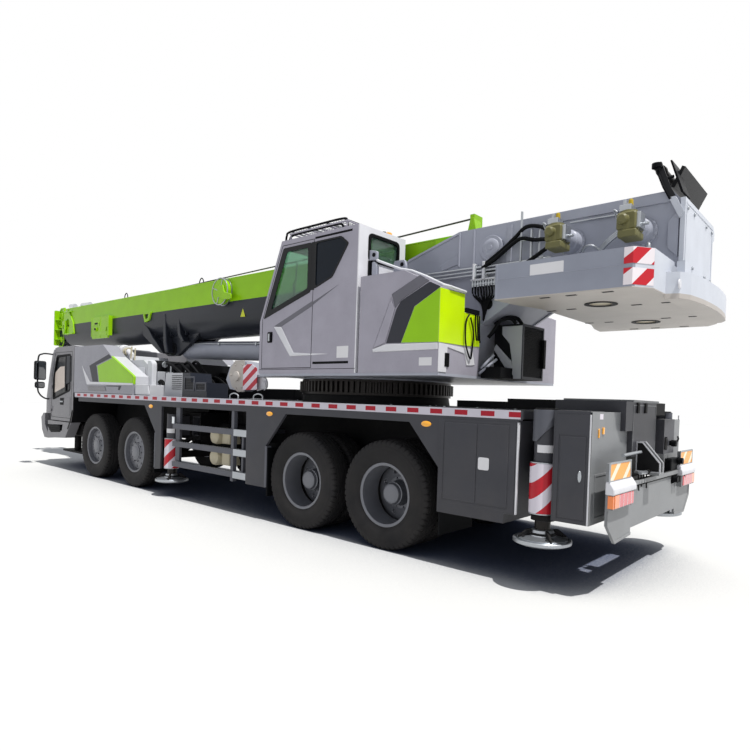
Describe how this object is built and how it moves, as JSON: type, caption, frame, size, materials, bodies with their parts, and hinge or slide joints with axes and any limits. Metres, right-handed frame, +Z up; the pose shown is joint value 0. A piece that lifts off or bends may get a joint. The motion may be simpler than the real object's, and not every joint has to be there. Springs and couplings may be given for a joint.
{
  "type": "mobile crane",
  "caption": "Mobile crane on a four-axle truck carrier with a lime and grey telescoping boom, operator's cab, counterweight and outriggers, stowed for the road.",
  "frame": {"origin": "middle of the crane's length and width, on the ground", "axes": "X forward to the boom head, Y to the left, Z up"},
  "size_m": [15.02, 3.46, 3.95],
  "materials": {
    "carrier_dark": "dark grey paint, semi-gloss",
    "cab_grey": "mid grey paint, gloss",
    "lime": "lime green paint, gloss",
    "plate_grey": "grey paint, semi-gloss",
    "weight_grey": "pale grey paint",
    "glass": "green tinted safety glass",
    "tyre": "moulded rubber",
    "steel": "bare and zinc plated steel",
    "black_steel": "black chassis paint on castings",
    "interior": "moulded plastic and seat fabric"
  },
  "bodies": {
    "carrier": {"chassis_frame": "carrier_dark", "carrier_deck": "carrier_dark", "slew_ring": "black_steel", "cab_shell": "cab_grey", "cab_glass": "glass", "cab_interior": "interior", "front_bumper": "cab_grey", "cab_mirrors": "cab_grey", "engine_block": "black_steel", "engine_covers": "cab_grey", "outrigger_boxes": "carrier_dark", "rear_lockers": "carrier_dark", "rear_bumper": "cab_grey", "side_rails": "carrier_dark", "side_tanks": "steel", "axles_and_shafts": "black_steel"},
    "turntable": {"turntable_frame": "plate_grey", "winch_drives": "black_steel", "operator_cab_shell": "cab_grey", "operator_cab_door": "cab_grey", "operator_cab_glass": "glass", "operator_cab_interior": "interior", "turntable_fairings": "plate_grey", "counterweight": "weight_grey", "oil_cooler": "black_steel", "hydraulic_pipes": "steel", "hook_block": "plate_grey"},
    "main_winch_drum": {"main_winch_drum": "steel"},
    "auxiliary_winch_drum": {"auxiliary_winch_drum": "steel"},
    "boom": {"boom_base": "lime", "boom_fittings": "lime"},
    "boom_section_2": {"boom_section_2": "lime"},
    "boom_section_3": {"boom_section_3": "lime"},
    "boom_section_4": {"boom_section_4": "lime"},
    "boom_section_5": {"boom_section_5": "lime"},
    "lift_cylinder_barrel": {"lift_cylinder_barrel": "plate_grey"},
    "lift_cylinder_rod": {"lift_cylinder_rod": "steel"},
    "cab_door_left": {"cab_door_left": "cab_grey"},
    "cab_door_right": {"cab_door_right": "cab_grey"},
    "knuckle_1_left": {"knuckle_1_left": "black_steel"},
    "knuckle_1_right": {"knuckle_1_right": "black_steel"},
    "knuckle_2_left": {"knuckle_2_left": "black_steel"},
    "knuckle_2_right": {"knuckle_2_right": "black_steel"},
    "wheel_1_left": {"wheel_1_left": "tyre"},
    "wheel_1_right": {"wheel_1_right": "tyre"},
    "wheel_2_left": {"wheel_2_left": "tyre"},
    "wheel_2_right": {"wheel_2_right": "tyre"},
    "wheel_3_left": {"wheel_3_left": "tyre"},
    "wheel_3_right": {"wheel_3_right": "tyre"},
    "wheel_4_left": {"wheel_4_left": "tyre"},
    "wheel_4_right": {"wheel_4_right": "tyre"},
    "outrigger_beam_front_left": {"outrigger_beam_front_left": "carrier_dark"},
    "outrigger_jack_front_left": {"outrigger_jack_front_left": "steel"},
    "outrigger_beam_front_right": {"outrigger_beam_front_right": "carrier_dark"},
    "outrigger_jack_front_right": {"outrigger_jack_front_right": "steel"},
    "outrigger_beam_rear_left": {"outrigger_beam_rear_left": "carrier_dark"},
    "outrigger_jack_rear_left": {"outrigger_jack_rear_left": "steel"},
    "outrigger_beam_rear_right": {"outrigger_beam_rear_right": "carrier_dark"},
    "outrigger_jack_rear_right": {"outrigger_jack_rear_right": "steel"}
  },
  "joints": [
    {"name": "slew", "type": "hinge", "parent": "carrier", "child": "turntable", "pos_m": [-3.25, 0, 1.92], "axis": [0, 0, 1], "continuous": true},
    {"name": "luff", "type": "hinge", "parent": "turntable", "child": "boom", "pos_m": [-5.36, 0, 3.41], "axis": [0, -1, 0], "range_deg": [0, 80]},
    {"name": "telescope_2", "type": "slide", "parent": "boom", "child": "boom_section_2", "axis": [1, 0, 0], "range_m": [0, 8.7]},
    {"name": "telescope_3", "type": "slide", "parent": "boom_section_2", "child": "boom_section_3", "axis": [1, 0, 0], "range_m": [0, 8.7]},
    {"name": "telescope_4", "type": "slide", "parent": "boom_section_3", "child": "boom_section_4", "axis": [1, 0, 0], "range_m": [0, 8.7]},
    {"name": "telescope_5", "type": "slide", "parent": "boom_section_4", "child": "boom_section_5", "axis": [1, 0, 0], "range_m": [0, 8.7]},
    {"name": "lift_cylinder_swing", "type": "hinge", "parent": "turntable", "child": "lift_cylinder_barrel", "pos_m": [-2.64, 0, 2.37], "axis": [0, -1, 0], "range_deg": [0, 92.23]},
    {"name": "lift_cylinder_stroke", "type": "slide", "parent": "lift_cylinder_barrel", "child": "lift_cylinder_rod", "axis": [0.9993, 0, 0.0366], "range_m": [0, 3.5187]},
    {"name": "main_winch_drum", "type": "hinge", "parent": "turntable", "child": "main_winch_drum", "pos_m": [-6.28, 0, 3.33], "axis": [0, 1, 0], "continuous": true},
    {"name": "auxiliary_winch_drum", "type": "hinge", "parent": "turntable", "child": "auxiliary_winch_drum", "pos_m": [-6.96, 0, 3.33], "axis": [0, 1, 0], "continuous": true},
    {"name": "steer_1_left", "type": "hinge", "parent": "carrier", "child": "knuckle_1_left", "pos_m": [2.71, 0.945, 0.613], "axis": [0, 0, 1], "range_deg": [-30, 30]},
    {"name": "steer_1_right", "type": "hinge", "parent": "carrier", "child": "knuckle_1_right", "pos_m": [2.71, -0.945, 0.613], "axis": [0, 0, 1], "range_deg": [-30, 30]},
    {"name": "steer_2_left", "type": "hinge", "parent": "carrier", "child": "knuckle_2_left", "pos_m": [1.16, 0.945, 0.613], "axis": [0, 0, 1], "range_deg": [-23, 23]},
    {"name": "steer_2_right", "type": "hinge", "parent": "carrier", "child": "knuckle_2_right", "pos_m": [1.16, -0.945, 0.613], "axis": [0, 0, 1], "range_deg": [-23, 23]},
    {"name": "roll_1_left", "type": "hinge", "parent": "knuckle_1_left", "child": "wheel_1_left", "pos_m": [2.71, 1.2, 0.613], "axis": [0, 1, 0], "continuous": true},
    {"name": "roll_1_right", "type": "hinge", "parent": "knuckle_1_right", "child": "wheel_1_right", "pos_m": [2.71, -1.2, 0.613], "axis": [0, 1, 0], "continuous": true},
    {"name": "roll_2_left", "type": "hinge", "parent": "knuckle_2_left", "child": "wheel_2_left", "pos_m": [1.16, 1.2, 0.613], "axis": [0, 1, 0], "continuous": true},
    {"name": "roll_2_right", "type": "hinge", "parent": "knuckle_2_right", "child": "wheel_2_right", "pos_m": [1.16, -1.2, 0.613], "axis": [0, 1, 0], "continuous": true},
    {"name": "roll_3_left", "type": "hinge", "parent": "carrier", "child": "wheel_3_left", "pos_m": [-3.22, 1.2, 0.613], "axis": [0, 1, 0], "continuous": true},
    {"name": "roll_3_right", "type": "hinge", "parent": "carrier", "child": "wheel_3_right", "pos_m": [-3.22, -1.2, 0.613], "axis": [0, 1, 0], "continuous": true},
    {"name": "roll_4_left", "type": "hinge", "parent": "carrier", "child": "wheel_4_left", "pos_m": [-4.59, 1.2, 0.613], "axis": [0, 1, 0], "continuous": true},
    {"name": "roll_4_right", "type": "hinge", "parent": "carrier", "child": "wheel_4_right", "pos_m": [-4.59, -1.2, 0.613], "axis": [0, 1, 0], "continuous": true},
    {"name": "extend_front_left", "type": "slide", "parent": "carrier", "child": "outrigger_beam_front_left", "axis": [0, 1, 0], "range_m": [0, 2.05]},
    {"name": "jack_front_left", "type": "slide", "parent": "outrigger_beam_front_left", "child": "outrigger_jack_front_left", "axis": [0, 0, -1], "range_m": [0, 0.55]},
    {"name": "extend_front_right", "type": "slide", "parent": "carrier", "child": "outrigger_beam_front_right", "axis": [0, -1, 0], "range_m": [0, 2.05]},
    {"name": "jack_front_right", "type": "slide", "parent": "outrigger_beam_front_right", "child": "outrigger_jack_front_right", "axis": [0, 0, -1], "range_m": [0, 0.55]},
    {"name": "extend_rear_left", "type": "slide", "parent": "carrier", "child": "outrigger_beam_rear_left", "axis": [0, 1, 0], "range_m": [0, 2.05]},
    {"name": "jack_rear_left", "type": "slide", "parent": "outrigger_beam_rear_left", "child": "outrigger_jack_rear_left", "axis": [0, 0, -1], "range_m": [0, 0.55]},
    {"name": "extend_rear_right", "type": "slide", "parent": "carrier", "child": "outrigger_beam_rear_right", "axis": [0, -1, 0], "range_m": [0, 2.05]},
    {"name": "jack_rear_right", "type": "slide", "parent": "outrigger_beam_rear_right", "child": "outrigger_jack_rear_right", "axis": [0, 0, -1], "range_m": [0, 0.55]},
    {"name": "door_left", "type": "hinge", "parent": "carrier", "child": "cab_door_left", "pos_m": [4.883, 1.386, 1.5], "axis": [0, 0, -1], "range_deg": [0, 70]},
    {"name": "door_right", "type": "hinge", "parent": "carrier", "child": "cab_door_right", "pos_m": [4.883, -1.386, 1.5], "axis": [0, 0, 1], "range_deg": [0, 70]}
  ],
  "couplings": [
    {"joint": "telescope_3", "follows": "telescope_2", "ratio": 1},
    {"joint": "telescope_4", "follows": "telescope_2", "ratio": 1},
    {"joint": "telescope_5", "follows": "telescope_2", "ratio": 1},
    {"joint": "lift_cylinder_swing", "follows": "luff", "ratio": 1.1528},
    {"joint": "lift_cylinder_stroke", "follows": "luff", "m_per_rad": 2.5197},
    {"joint": "steer_1_right", "follows": "steer_1_left", "ratio": 1},
    {"joint": "steer_2_left", "follows": "steer_1_left", "ratio": 0.76667},
    {"joint": "steer_2_right", "follows": "steer_1_left", "ratio": 0.76667}
  ]
}
